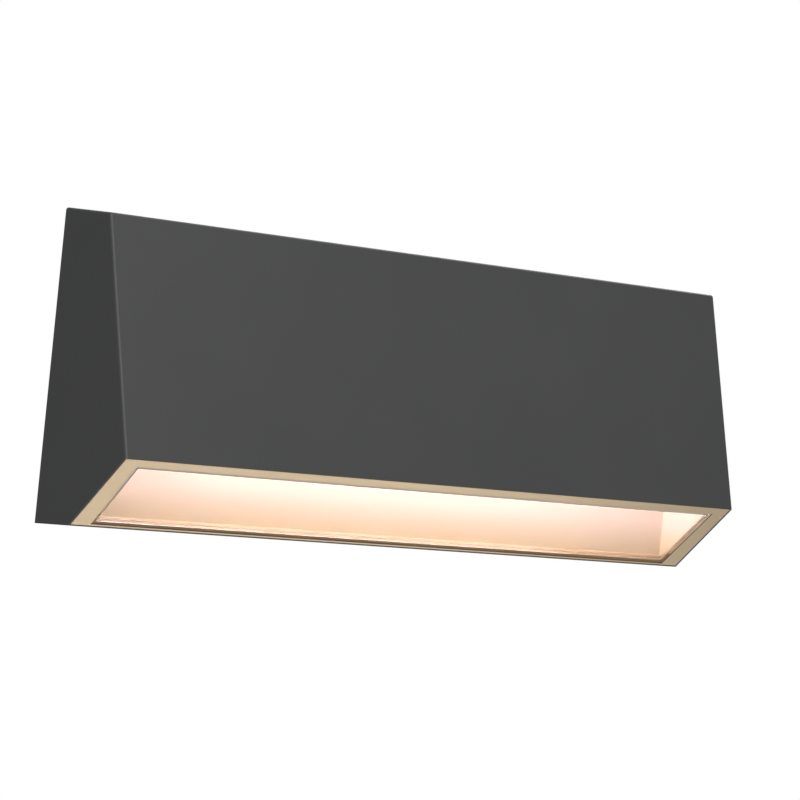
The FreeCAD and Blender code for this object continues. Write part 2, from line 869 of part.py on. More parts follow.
def driver_components():
    margin = driver_wall + driver_board_margin
    run = driver_length - 2 * margin
    climb = driver_height - 2 * margin
    left = driver_left + margin
    low = driver_low_rise + margin
    seat = driver_board_top() - driver_board_thickness
    room = seat - driver_low_depth - driver_wall
    parts = []
    for along, up, wide, tall, proud in driver_component_shares:
        x_span = (left + (along - wide / 2) * run, left + (along + wide / 2) * run)
        rises = (low + (up - tall / 2) * climb, low + (up + tall / 2) * climb)
        parts.append(block(x_span, (seat - proud * room, seat), rises))
    along, up, wide, proud = driver_capacitor_share
    radius = proud * room / 2
    start = spot(left + (along - wide / 2) * run, seat - radius, low + up * climb)
    parts.append(rod(start, start + Vector(wide * run, 0, 0), radius))
    return group(parts)


def driver_screws():
    depth = tray_rear_depth - driver_ear_thickness
    seats = [spot(x, depth, driver_screw_rise()) for x in driver_screw_places()]
    return group([screw(seat, Vector(0, -1, 0), driver_screw_length, small_screw) for seat in seats])


# Terminal block and its three release buttons


def terminal_screw_places():
    reach = terminal_width / 2 + terminal_ear_length / 2
    return (terminal_centre - reach, terminal_centre + reach)


def terminal_screw_rise():
    return terminal_low_rise + terminal_height / 2


def terminal_block():
    half = terminal_width / 2
    span = (terminal_centre - half, terminal_centre + half)
    body = block(span, (terminal_low_depth, tray_rear_depth), (terminal_low_rise, terminal_high_rise))
    middle = terminal_screw_rise()
    ear_rises = (middle - terminal_ear_height / 2, middle + terminal_ear_height / 2)
    ear_span = (span[0] - terminal_ear_length, span[1] + terminal_ear_length)
    ears = block(ear_span, (tray_rear_depth - terminal_ear_thickness, tray_rear_depth), ear_rises)
    cuts = []
    pocket_half = button_width / 2 + button_gap
    pocket_reach = button_height / 2 + button_gap
    pocket_depth = terminal_low_depth + button_length - button_stand + button_travel + button_gap
    for x in terminal_places:
        pocket_span = (x - pocket_half, x + pocket_half)
        pocket_rises = (middle - pocket_reach, middle + pocket_reach)
        cuts.append(block(pocket_span, (terminal_low_depth - overrun, pocket_depth), pocket_rises))
        top = spot(x, terminal_hole_depth, terminal_high_rise)
        cuts.append(rod(top, top - Vector(0, 0, terminal_hole_length), terminal_hole_radius))
        foot = spot(x, terminal_hole_depth, terminal_low_rise)
        cuts.append(rod(foot, foot + Vector(0, 0, terminal_hole_length), terminal_hole_radius))
    for x in terminal_screw_places():
        low = spot(x, terminal_low_depth, middle)
        cuts.append(rod(low, spot(x, tray_front_depth, middle), small_shank_radius + screw_gap))
    return joined([body, ears]).cut(cuts)


def terminal_button(x):
    low = terminal_low_depth - button_stand
    middle = terminal_screw_rise()
    span = (x - button_width / 2, x + button_width / 2)
    rises = (middle - button_height / 2, middle + button_height / 2)
    body = block(span, (low, low + button_length), rises)
    crown = [edge for edge in body.Edges if abs(edge.CenterOfMass.y + low) < screw_gap]
    return body.makeFillet(button_radius, crown)


def terminal_screws():
    depth = tray_rear_depth - terminal_ear_thickness
    seats = [spot(x, depth, terminal_screw_rise()) for x in terminal_screw_places()]
    return group([screw(seat, Vector(0, -1, 0), terminal_screw_length, small_screw) for seat in seats])


# Leads


def lead(points, bend_radius):
    """A round lead along straight runs that tangent arcs of one radius join."""
    edges = []
    start = points[0]
    for before, corner, after in zip(points, points[1:], points[2:]):
        arriving = (corner - before).normalize()
        leaving = (after - corner).normalize()
        turn = arriving.getAngle(leaving)
        back = bend_radius * math.tan(turn / 2)
        arc_start = corner - arriving * back
        arc_end = corner + leaving * back
        inward = (leaving - arriving).normalize()
        middle = corner + inward * (bend_radius / math.cos(turn / 2) - bend_radius)
        edges.append(Part.LineSegment(start, arc_start).toShape())
        edges.append(Part.Arc(arc_start, middle, arc_end).toShape())
        start = arc_end
    edges.append(Part.LineSegment(start, points[-1]).toShape())
    path = Part.Wire(edges)
    section = Part.Wire(Part.makeCircle(lead_radius, points[0], points[1] - points[0]))
    return path.makePipeShell([section], True, False)


def mains_lead(x, rise):
    seat = terminal_low_rise + terminal_hole_length - lead_hole_gap
    return lead(
        [
            spot(x, terminal_hole_depth, seat),
            spot(x, terminal_hole_depth, rise),
            spot(driver_right - lead_entry, terminal_hole_depth, rise),
        ],
        mains_bend_radius,
    )


def lead_earth():
    seat = terminal_low_rise + terminal_hole_length - lead_hole_gap
    x = terminal_places[2]
    turn_rise = terminal_low_rise - earth_turn_drop
    barrel_depth = tray_rear_depth - lug_barrel_radius
    bend_rise = lug_barrel_rise - lug_barrel_length
    return lead(
        [
            spot(x, terminal_hole_depth, seat),
            spot(x, terminal_hole_depth, turn_rise),
            spot(earth_column, terminal_hole_depth, turn_rise),
            spot(earth_column, terminal_hole_depth, bend_rise - earth_run_length),
            spot(earth_column, barrel_depth, bend_rise),
            spot(earth_column, barrel_depth, lug_barrel_rise + lug_barrel_length / 2),
        ],
        earth_bend_radius,
    )


def lamp_lead(x, rise):
    return lead(
        [
            spot(driver_left + lead_entry, lamp_lead_depth, rise),
            spot(x, lamp_lead_depth, rise),
            spot(x, lamp_lead_depth, lamp_lead_top_rise),
            spot(x, lamp_lead_front_depth, lamp_lead_top_rise),
            spot(x, lamp_lead_front_depth, board_low_rise),
        ],
        lamp_bend_radius,
    )


def grommet(x, rise, spans, radii):
    """A rubber ring: rear lip, groove and front lip, with one bore."""
    bore, groove, lip = radii
    rear, groove_rear, groove_front, front = spans
    parts = [
        rod(spot(x, rear, rise), spot(x, groove_rear, rise), lip),
        rod(spot(x, rear, rise), spot(x, front, rise), groove),
        rod(spot(x, groove_front, rise), spot(x, front, rise), lip),
    ]
    hole = rod(spot(x, rear - overrun, rise), spot(x, front + overrun, rise), bore)
    return joined(parts).cut(hole)


def lead_grommet():
    lip = lead_grommet_radius + lead_grommet_lip
    spans = (
        tray_rear_depth - lead_grommet_lip,
        tray_rear_depth,
        tray_front_depth,
        tray_front_depth + lead_grommet_lip,
    )
    radii = (lead_grommet_bore, lead_grommet_radius, lip)
    return grommet(lead_grommet_place, lamp_lead_top_rise, spans, radii)


# Earth lug and screw


def earth_lug():
    depths = (tray_rear_depth - lug_thickness, tray_rear_depth)
    ring_ends = [spot(earth_column, depth, pillar_rise) for depth in depths]
    ring = rod(ring_ends[0], ring_ends[1], lug_radius)
    neck_span = (earth_column - lug_barrel_radius, earth_column + lug_barrel_radius)
    neck = block(neck_span, depths, (lug_barrel_rise, pillar_rise))
    barrel_depth = tray_rear_depth - lug_barrel_radius
    barrel_low = spot(earth_column, barrel_depth, lug_barrel_rise)
    barrel_high = spot(earth_column, barrel_depth, lug_barrel_rise + lug_barrel_length)
    barrel = rod(barrel_low, barrel_high, lug_barrel_radius)
    solid = joined([ring, neck, barrel])
    eye_low = spot(earth_column, depths[0] - overrun, pillar_rise)
    eye_high = spot(earth_column, depths[1] + overrun, pillar_rise)
    lead_end = spot(earth_column, barrel_depth, lug_barrel_rise + lug_barrel_length / 2)
    hole_low = barrel_low - Vector(0, 0, overrun)
    eye = rod(eye_low, eye_high, large_shank_radius + screw_gap)
    hole = rod(hole_low, lead_end, lead_radius + screw_gap)
    return solid.cut([eye, hole])


def earth_screw():
    seat = spot(earth_column, tray_rear_depth - lug_thickness, pillar_rise)
    return screw(seat, Vector(0, -1, 0), earth_screw_length, large_screw)


# Wall bracket, its gasket, the cable grommet and the set screws


def slot_cuts(depth_span):
    cuts = []
    reach = slot_length / 2 - slot_width / 2
    middle = height / 2
    for side in (-1, 1):
        x = side * slot_place
        rises = (middle - slot_width / 2, middle + slot_width / 2)
        slot = [block((x - reach, x + reach), depth_span, rises)]
        for end in (x - reach, x + reach):
            near, far = (spot(end, depth, middle) for depth in depth_span)
            slot.append(rod(near, far, slot_width / 2))
        cuts.append(joined(slot))
    return cuts


def cable_hole(radius, depth_span):
    low = spot(terminal_centre, depth_span[0], cable_hole_rise)
    return rod(low, spot(terminal_centre, depth_span[1], cable_hole_rise), radius)


def wall_bracket():
    """A plate with both long edges folded forward, with round folds."""
    rear = gasket_thickness
    tip = gasket_thickness + bracket_flange
    outer = block((-bracket_half, bracket_half), (rear, tip), (bracket_low_rise, bracket_high_rise))
    inner = block(
        (-2 * bracket_half, 2 * bracket_half),
        (rear + bracket_thickness, tip + overrun),
        (bracket_low_rise + bracket_thickness, bracket_high_rise - bracket_thickness),
    )
    long = 2 * bracket_half - overrun
    folds = [e for e in outer.Edges if e.Length > long and e.CenterOfMass.y > -rear - overrun]
    outer = outer.makeFillet(bracket_radius, folds)
    inner_folds = [
        e for e in inner.Edges
        if e.Length > long and e.CenterOfMass.y > -rear - bracket_thickness - overrun
    ]
    inner = inner.makeFillet(bracket_radius - bracket_thickness, inner_folds)
    span = (-overrun, bracket_front_depth + overrun)
    return outer.cut([inner, cable_hole(cable_hole_radius, span)] + slot_cuts(span))


def wall_gasket():
    half = bracket_half - gasket_margin
    rises = (bracket_low_rise + gasket_margin, bracket_high_rise - gasket_margin)
    pad = block((-half, half), (0, gasket_thickness), rises)
    span = (-overrun, gasket_thickness + overrun)
    return pad.cut([cable_hole(cable_hole_radius + cable_grommet_lip, span)] + slot_cuts(span))


def cable_grommet():
    spans = (0, gasket_thickness, bracket_front_depth, bracket_front_depth + cable_grommet_front)
    radii = (cable_grommet_bore, cable_hole_radius, cable_hole_radius + cable_grommet_lip)
    return grommet(terminal_centre, cable_hole_rise, spans, radii)


def set_screws():
    screws = []
    tip_rise = bracket_low_rise - set_screw_gap
    for side in (-1, 1):
        tip = spot(side * slot_place, set_screw_depth, tip_rise)
        tail = spot(side * slot_place, set_screw_depth, tip_rise - set_screw_length)
        pin = rod(tail, tip, large_shank_radius)
        socket = hexagon_rod(tail, Vector(0, 0, 1), medium_socket_radius, set_screw_socket_depth)
        screws.append(pin.cut(socket))
    return group(screws)


# Write each piece to its own file

pieces = {
    "housing": housing(),
    "outlet_frame": outlet_frame(),
    "frame_gasket": frame_gasket(),
    "frame_screws": frame_screws(),
    "outlet_glass": outlet_glass(),
    "glass_seal": glass_seal(),
    "reflector": reflector(),
    "reflector_screws": reflector_screws(),
    "diffuser": diffuser(),
    "led_carrier": led_carrier(),
    "thermal_pad": thermal_pad(),
    "led_board": led_board(),
    "led_chips": led_chips(),
    "led_solder_joints": led_solder_joints(),
    "led_board_screws": led_board_screws(),
    "gear_tray": gear_tray(),
    "tray_screws": tray_screws(),
    "carrier_screws": carrier_screws(),
    "driver_case": driver_case(),
    "driver_lid": driver_lid(),
    "driver_board": driver_board(),
    "driver_components": driver_components(),
    "driver_screws": driver_screws(),
    "terminal_block": terminal_block(),
    "terminal_screws": terminal_screws(),
    "lead_live": mains_lead(terminal_places[0], live_rise),
    "lead_neutral": mains_lead(terminal_places[1], neutral_rise),
    "lead_earth": lead_earth(),
    "led_lead_plus": lamp_lead(lamp_lead_places[0], lamp_lead_rises[0]),
    "led_lead_minus": lamp_lead(lamp_lead_places[1], lamp_lead_rises[1]),
    "lead_grommet": lead_grommet(),
    "earth_lug": earth_lug(),
    "earth_screw": earth_screw(),
    "wall_bracket": wall_bracket(),
    "wall_gasket": wall_gasket(),
    "cable_grommet": cable_grommet(),
    "set_screws": set_screws(),
}
for pole, x in zip(("live", "neutral", "earth"), terminal_places):
    pieces["terminal_button_" + pole] = terminal_button(x)

for node, shape in pieces.items():
    save(node, shape)
    print(node, len(shape.Solids), round(shape.Volume), shape.isValid())
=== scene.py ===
import json
import math

import bpy
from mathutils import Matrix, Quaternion, Vector


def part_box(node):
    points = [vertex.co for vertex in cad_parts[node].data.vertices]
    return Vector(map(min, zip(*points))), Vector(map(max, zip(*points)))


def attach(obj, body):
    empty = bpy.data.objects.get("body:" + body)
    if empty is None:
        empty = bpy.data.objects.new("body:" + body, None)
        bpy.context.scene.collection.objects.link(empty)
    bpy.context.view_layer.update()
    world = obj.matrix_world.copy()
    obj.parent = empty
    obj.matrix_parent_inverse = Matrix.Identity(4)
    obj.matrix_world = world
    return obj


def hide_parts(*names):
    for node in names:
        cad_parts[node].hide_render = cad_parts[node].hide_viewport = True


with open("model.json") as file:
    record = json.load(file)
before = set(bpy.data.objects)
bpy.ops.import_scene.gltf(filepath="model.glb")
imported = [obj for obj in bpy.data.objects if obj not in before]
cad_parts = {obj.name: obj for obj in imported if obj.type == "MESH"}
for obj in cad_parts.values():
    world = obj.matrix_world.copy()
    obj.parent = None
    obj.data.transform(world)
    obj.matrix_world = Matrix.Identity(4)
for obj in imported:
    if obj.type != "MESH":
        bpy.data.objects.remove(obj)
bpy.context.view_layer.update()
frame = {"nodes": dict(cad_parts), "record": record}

# Wall gasket
# A die-cut pad of black closed-cell foam between bracket and wall. It evens out the plaster and
# keeps water out of the cable hole. The screw slots and the cable hole are punched through it.
MM = 0.001
one_point = 0.001 * MM
flat_angle = math.radians(0.5)


class Finish:
    """A surface finish: one shader, and patterns that lie still on the piece."""

    def __init__(self, name, roughness, metallic=0.0):
        self.material = bpy.data.materials.new(name)
        self.material.use_nodes = True
        self.nodes = self.material.node_tree.nodes
        self.shader = self.nodes["Principled BSDF"]
        self.set("Roughness", roughness)
        self.set("Metallic", metallic)
        self.place = self.nodes.new("ShaderNodeTexCoord").outputs["Object"]

    def set(self, socket, value):
        self.shader.inputs[socket].default_value = value

    def link(self, source, target):
        self.material.node_tree.links.new(source, target)

    def stretched(self, size):
        """Coordinates in which one unit is the given size along x, y and z."""
        mapping = self.nodes.new("ShaderNodeMapping")
        mapping.inputs["Scale"].default_value = [1 / length for length in size]
        self.link(self.place, mapping.inputs["Vector"])
        return mapping.outputs["Vector"]

    def speckle(self, size, detail=2.0):
        """Noise whose grains have the given size, one length or one for each axis."""
        sizes = size if isinstance(size, tuple) else (size, size, size)
        noise = self.nodes.new("ShaderNodeTexNoise")
        noise.inputs["Scale"].default_value = 1.0
        noise.inputs["Detail"].default_value = detail
        self.link(self.stretched(sizes), noise.inputs["Vector"])
        return noise.outputs["Fac"]

    def cells(self, size):
        """Voronoi cells of the given size."""
        voronoi = self.nodes.new("ShaderNodeTexVoronoi")
        voronoi.inputs["Scale"].default_value = 1.0
        self.link(self.stretched((size, size, size)), voronoi.inputs["Vector"])
        return voronoi.outputs

    def sum(self, first, second, operation="ADD"):
        maths = self.nodes.new("ShaderNodeMath")
        maths.operation = operation
        for socket, value in zip(maths.inputs, (first, second)):
            if isinstance(value, float):
                socket.default_value = value
            else:
                self.link(value, socket)
        return maths.outputs["Value"]

    def spread(self, value, low, high, start=0.3, end=0.7):
        """The value's range from start to end, stretched to run from low to high."""
        reach = self.nodes.new("ShaderNodeMapRange")
        for name, number in (("From Min", start), ("From Max", end), ("To Min", low), ("To Max", high)):
            reach.inputs[name].default_value = number
        self.link(value, reach.inputs["Value"])
        return reach.outputs["Result"]

    def between(self, value, dark, light):
        """A colour between two, by the value; each is three numbers or a colour socket."""
        mix = self.nodes.new("ShaderNodeMix")
        mix.data_type = "RGBA"
        for socket, colour in ((mix.inputs[6], dark), (mix.inputs[7], light)):
            if isinstance(colour, tuple):
                socket.default_value = (*colour, 1)
            else:
                self.link(colour, socket)
        self.link(value, mix.inputs["Factor"])
        return mix.outputs[2]

    def tint(self, value, dark, light):
        colour = self.between(value, dark, light)
        self.link(colour, self.shader.inputs["Base Color"])
        return colour

    def gloss(self, value, low, high):
        self.link(self.spread(value, low, high), self.shader.inputs["Roughness"])

    def relief(self, value, height):
        """Bumps of the given height, on top of any that the finish has."""
        bump = self.nodes.new("ShaderNodeBump")
        bump.inputs["Distance"].default_value = height
        self.link(value, bump.inputs["Height"])
        for link in self.shader.inputs["Normal"].links:
            self.link(link.from_socket, bump.inputs["Normal"])
        self.link(bump.outputs["Normal"], self.shader.inputs["Normal"])


bodies = {}
for body, nodes in frame["record"]["behaviour"]["bodies"].items():
    bodies.update(dict.fromkeys(nodes, body))


def choose(pieces):
    """Selects only these pieces, the last one active."""
    bpy.ops.object.select_all(action="DESELECT")
    for piece in pieces:
        piece.select_set(True)
        bpy.context.view_layer.objects.active = piece


def stands_for(piece, node, finish):
    """The piece takes a node's body, slot and place in the object."""
    piece.data.materials.clear()
    piece.data.materials.append(finish.material)
    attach(piece, bodies[node])
    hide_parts(node)
    return piece


def copied(node, name):
    """A copy of a node's mesh with its doubles merged and its flat faces whole."""
    piece = bpy.data.objects.new(name, frame["nodes"][node].data.copy())
    bpy.context.scene.collection.objects.link(piece)
    choose([piece])
    bpy.ops.object.mode_set(mode="EDIT")
    bpy.ops.mesh.select_all(action="SELECT")
    bpy.ops.mesh.customdata_custom_splitnormals_clear()
    bpy.ops.mesh.remove_doubles(threshold=one_point)
    bpy.ops.mesh.dissolve_limited(angle_limit=flat_angle)
    bpy.ops.object.mode_set(mode="OBJECT")
    return piece


def edged(piece, radius, least_angle=35, steps=2):
    """Gives the piece's sharp edges a small radius and shades its curved faces smooth."""
    choose([piece])
    bevel = piece.modifiers.new("edge", "BEVEL")
    bevel.width = radius
    bevel.segments = steps
    bevel.limit_method = "ANGLE"
    bevel.angle_limit = math.radians(least_angle)
    bpy.ops.object.modifier_apply(modifier=bevel.name)
    bpy.ops.object.shade_smooth_by_angle(angle=math.radians(least_angle))
    weigh = piece.modifiers.new("flats", "WEIGHTED_NORMAL")
    weigh.keep_sharp = True
    bpy.ops.object.modifier_apply(modifier=weigh.name)
    return piece


def with_broken_edges(node, name, radius, finish, least_angle=35, steps=2):
    """Stands a copy of the node with small edge radii in its place."""
    return stands_for(edged(copied(node, name), radius, least_angle, steps), node, finish)


foam = Finish("closed_cell_foam", 0.92)
pores = foam.cells(0.9 * MM)["Distance"]
foam.tint(pores, (0.018, 0.018, 0.02), (0.055, 0.055, 0.058))
foam.relief(pores, 0.25 * MM)
foam.relief(foam.speckle(6 * MM), 0.15 * MM)
with_broken_edges("wall_gasket", "foam_pad", 0.25 * MM, foam)

# Wall bracket
# A tray-shaped bracket, cut and folded from 1.5 mm zinc-coated steel. Two screws through its level
# slots hold it to the wall, and the light's housing hangs over its folded edges.
zinc = Finish("zinc_coat", 0.38, metallic=1.0)
spangle = zinc.cells(7 * MM)
zinc.tint(spangle["Color"], (0.50, 0.52, 0.54), (0.68, 0.70, 0.72))
zinc.gloss(zinc.speckle(2.2 * MM), 0.30, 0.46)
zinc.relief(spangle["Distance"], 0.02 * MM)
zinc.relief(zinc.speckle((14 * MM, 0.5 * MM, 0.5 * MM)), 0.01 * MM)
with_broken_edges("wall_bracket", "folded_bracket", 0.2 * MM, zinc)

# Cable grommet
# A soft black rubber ring with a groove, pressed into the bracket's cable hole. It seals round the
# house cable and keeps the sheet's cut edge off it.
rubber = Finish("black_rubber", 0.62)
dust = rubber.speckle(3 * MM)
rubber.tint(dust, (0.016, 0.016, 0.017), (0.034, 0.034, 0.035))
rubber.gloss(dust, 0.52, 0.72)
rubber.relief(rubber.speckle(0.5 * MM), 0.02 * MM)
with_broken_edges("cable_grommet", "cable_seal", 0.4 * MM, rubber, steps=3)

# Gear tray
# A flat sheet of zinc-coated steel inside the housing, screwed to four cast pillars. It carries the
# driver, the terminal block and the lamp's carrier, and is earthed by the lug in its corner.
with_broken_edges("gear_tray", "tray_sheet", 0.2 * MM, zinc)

# Screws
# Zinc-plated button-head screws with hexagon sockets: four for the tray, three for the carrier, two
# each for driver, terminal block and reflector, four each for LED board and outlet frame.
plated = Finish("zinc_plated_steel", 0.30, metallic=1.0)
wear = plated.speckle(0.8 * MM)
plated.tint(wear, (0.52, 0.53, 0.55), (0.68, 0.69, 0.70))
plated.gloss(wear, 0.22, 0.42)
plated.relief(plated.speckle(0.2 * MM), 0.006 * MM)
for use in ("tray", "carrier", "driver", "terminal", "reflector", "led_board", "frame"):
    with_broken_edges(use + "_screws", use + "_button_screws", 0.08 * MM, plated)
with_broken_edges("earth_screw", "earth_button_screw", 0.08 * MM, plated)

# Driver
# A constant-current LED driver in pale grey moulded plastic: a case on the tray and a lid snapped
# into it, with a blank film label. Inside are its circuit board and the parts soldered on it.
casing = Finish("moulded_grey", 0.50)
casing.tint(casing.speckle(9 * MM), (0.66, 0.66, 0.64), (0.76, 0.76, 0.74))
casing.gloss(casing.speckle(1.5 * MM), 0.42, 0.58)
casing.relief(casing.speckle(0.35 * MM), 0.02 * MM)
with_broken_edges("driver_case", "driver_shell", 0.3 * MM, casing)
with_broken_edges("driver_lid", "driver_cover", 0.3 * MM, casing)

film = Finish("label_film", 0.34)
fibre = film.speckle((3 * MM, 3 * MM, 0.3 * MM))
film.tint(fibre, (0.70, 0.71, 0.73), (0.79, 0.80, 0.82))
film.gloss(fibre, 0.28, 0.42)
film.relief(film.speckle(0.4 * MM), 0.005 * MM)
lid_low, lid_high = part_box("driver_lid")
label_place = (lid_low + lid_high) / 2
label_place.y = lid_high.y
label_size = (62 * MM, 22 * MM, 1)
label_corner = 1.5 * MM
label_thickness = 0.1 * MM
bpy.ops.object.select_all(action="DESELECT")
bpy.ops.mesh.primitive_plane_add(size=1, location=label_place, rotation=(-math.pi / 2, 0, 0))
label = bpy.context.object
label.name = "plain_label"
label.scale = label_size
bpy.ops.object.transform_apply(location=True, rotation=True, scale=True)
bpy.ops.object.mode_set(mode="EDIT")
bpy.ops.mesh.select_all(action="SELECT")
bpy.ops.mesh.bevel(offset=label_corner, segments=5, affect="VERTICES")
bpy.ops.mesh.select_all(action="SELECT")
bpy.ops.mesh.extrude_region_move(TRANSFORM_OT_translate={"value": (0, label_thickness, 0)})
bpy.ops.mesh.select_all(action="SELECT")
bpy.ops.mesh.normals_make_consistent(inside=False)
bpy.ops.object.mode_set(mode="OBJECT")
label.data.materials.append(film.material)
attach(label, bodies["driver_lid"])

mask = Finish("green_solder_mask", 0.32)
weave = mask.speckle((1.2 * MM, 1.2 * MM, 0.4 * MM))
mask.tint(weave, (0.02, 0.14, 0.06), (0.05, 0.24, 0.11))
mask.relief(weave, 0.02 * MM)
with_broken_edges("driver_board", "driver_circuit", 0.1 * MM, mask)

moulded = Finish("black_moulding", 0.45)
matt = moulded.speckle(0.6 * MM)
moulded.tint(matt, (0.02, 0.02, 0.022), (0.05, 0.05, 0.053))
moulded.relief(matt, 0.02 * MM)
with_broken_edges("driver_components", "driver_parts", 0.3 * MM, moulded)

# Terminal block
# A three-pole block of pale grey moulded plastic with push-in clamps. A core goes in from above or
# below, and the orange button of its pole opens the clamp again.
clamp_body = Finish("terminal_moulding", 0.42)
clamp_body.tint(clamp_body.speckle(5 * MM), (0.62, 0.63, 0.62), (0.73, 0.74, 0.73))
clamp_body.relief(clamp_body.speckle(0.3 * MM), 0.015 * MM)
with_broken_edges("terminal_block", "clamp_block", 0.3 * MM, clamp_body)

button = Finish("orange_button", 0.40)
button.tint(button.speckle(2 * MM), (0.72, 0.20, 0.02), (0.86, 0.29, 0.05))
button.relief(button.speckle(0.3 * MM), 0.01 * MM)
for pole in ("live", "neutral", "earth"):
    with_broken_edges("terminal_button_" + pole, "release_button_" + pole, 0.2 * MM, button)

# Leads
# Single cores with PVC insulation: brown, blue and green-yellow from the terminal block, red and
# black from the driver through the tray to the LED board.
lead_colours = {
    "lead_live": ("brown_lead", (0.13, 0.045, 0.018), (0.19, 0.07, 0.028)),
    "lead_neutral": ("blue_lead", (0.02, 0.12, 0.46), (0.035, 0.18, 0.58)),
    "lead_earth": ("earth_lead", (0.05, 0.26, 0.035), (0.07, 0.34, 0.05)),
    "led_lead_plus": ("red_lead", (0.45, 0.012, 0.012), (0.58, 0.02, 0.02)),
    "led_lead_minus": ("black_lead", (0.012, 0.012, 0.013), (0.028, 0.028, 0.03)),
}
stripe_colour = (0.72, 0.60, 0.03)
stripe_way = (0.62, 0.55, 0.56)
for node, (finish_name, dark, light) in lead_colours.items():
    pvc = Finish(finish_name, 0.38)
    scuff = pvc.speckle(2 * MM)
    colour = pvc.tint(scuff, dark, light)
    pvc.gloss(scuff, 0.30, 0.46)
    pvc.relief(pvc.speckle(0.8 * MM), 0.02 * MM)
    if node == "lead_earth":
        side = pvc.nodes.new("ShaderNodeVectorMath")
        side.operation = "DOT_PRODUCT"
        side.inputs[1].default_value = stripe_way
        pvc.link(pvc.nodes["Texture Coordinate"].outputs["Normal"], side.inputs[0])
        level = pvc.sum(side.outputs["Value"], 0.0, "ABSOLUTE")
        stripe = pvc.spread(level, 1.0, 0.0, 0.34, 0.40)
        pvc.tint(stripe, colour, stripe_colour)
    with_broken_edges(node, finish_name, 0.05 * MM, pvc, least_angle=50, steps=1)

# Lead grommet and earth lug
# The rubber grommet guards the lamp's leads where they pass the tray. The tinned copper lug ends
# the earth core and is screwed to the tray.
with_broken_edges("lead_grommet", "lead_seal", 0.4 * MM, rubber, steps=3)
tinned = Finish("tinned_copper", 0.34, metallic=1.0)
bloom = tinned.speckle(1.2 * MM)
tinned.tint(bloom, (0.62, 0.60, 0.56), (0.78, 0.77, 0.74))
tinned.gloss(bloom, 0.26, 0.44)
tinned.relief(bloom, 0.01 * MM)
with_broken_edges("earth_lug", "crimped_lug", 0.1 * MM, tinned)

# Lamp carrier
# An extruded angle of bare aluminium with two fins on its leg. It is screwed to the tray and takes
# the heat of the LED board, which is screwed under it on a grey heat-conducting pad.
extruded = Finish("mill_aluminium", 0.36, metallic=1.0)
drawn = extruded.speckle((90 * MM, 0.35 * MM, 0.35 * MM), detail=4.0)
extruded.tint(drawn, (0.60, 0.61, 0.62), (0.76, 0.77, 0.78))
extruded.gloss(drawn, 0.26, 0.46)
extruded.relief(drawn, 0.02 * MM)
with_broken_edges("led_carrier", "finned_carrier", 0.25 * MM, extruded)

heat_pad = Finish("heat_pad", 0.75)
fill = heat_pad.speckle(1.5 * MM)
heat_pad.tint(fill, (0.28, 0.29, 0.31), (0.38, 0.39, 0.41))
heat_pad.relief(fill, 0.02 * MM)
with_broken_edges("thermal_pad", "grey_heat_pad", 0.05 * MM, heat_pad, steps=1)

# LED board
# An aluminium-backed circuit board with white solder mask and one row of 24 warm-white LEDs, each a
# white package with a sunk patch of yellow phosphor. The driver's two leads are soldered to it.
white_mask = Finish("white_solder_mask", 0.30)
tracks = white_mask.speckle((6 * MM, 1.5 * MM, 1.5 * MM))
white_mask.tint(tracks, (0.80, 0.80, 0.77), (0.88, 0.88, 0.86))
white_mask.relief(tracks, 0.02 * MM)
with_broken_edges("led_board", "lamp_board", 0.1 * MM, white_mask)

lamp_colour = (1.0, 0.87, 0.84)
lamp_glow = 20.0
phosphor = Finish("led_phosphor", 0.35)
dots = phosphor.speckle(0.5 * MM)
phosphor.tint(dots, (0.85, 0.62, 0.16), (0.95, 0.78, 0.30))
phosphor.relief(dots, 0.01 * MM)
phosphor.set("Emission Color", (*lamp_colour, 1))
phosphor.set("Emission Strength", lamp_glow)
phosphor.material.cycles.emission_sampling = "NONE"
package_rim = 0.3 * MM
patch_sink = 0.1 * MM
straight_down = -0.999
package = Finish("led_package", 0.40)
moulding = package.speckle(0.4 * MM)
package.tint(moulding, (0.78, 0.78, 0.74), (0.86, 0.86, 0.83))
package.relief(moulding, 0.01 * MM)
chips = with_broken_edges("led_chips", "led_row", 0.1 * MM, package)
chips.data.materials.append(phosphor.material)
chips.active_material_index = 1
bpy.ops.object.mode_set(mode="EDIT")
bpy.ops.mesh.select_mode(type="FACE")
bpy.ops.object.mode_set(mode="OBJECT")
for side in chips.data.polygons:
    side.select = side.normal.z < straight_down
bpy.ops.object.mode_set(mode="EDIT")
bpy.ops.mesh.inset(thickness=package_rim, use_individual=True)
bpy.ops.mesh.inset(thickness=patch_sink, depth=-patch_sink, use_individual=True)
bpy.ops.object.material_slot_assign()
bpy.ops.object.mode_set(mode="OBJECT")

tin = Finish("solder", 0.25, metallic=1.0)
crust = tin.speckle(0.5 * MM)
tin.tint(crust, (0.58, 0.59, 0.60), (0.72, 0.73, 0.74))
tin.relief(crust, 0.02 * MM)
with_broken_edges("led_solder_joints", "soldered_ends", 0.1 * MM, tin)

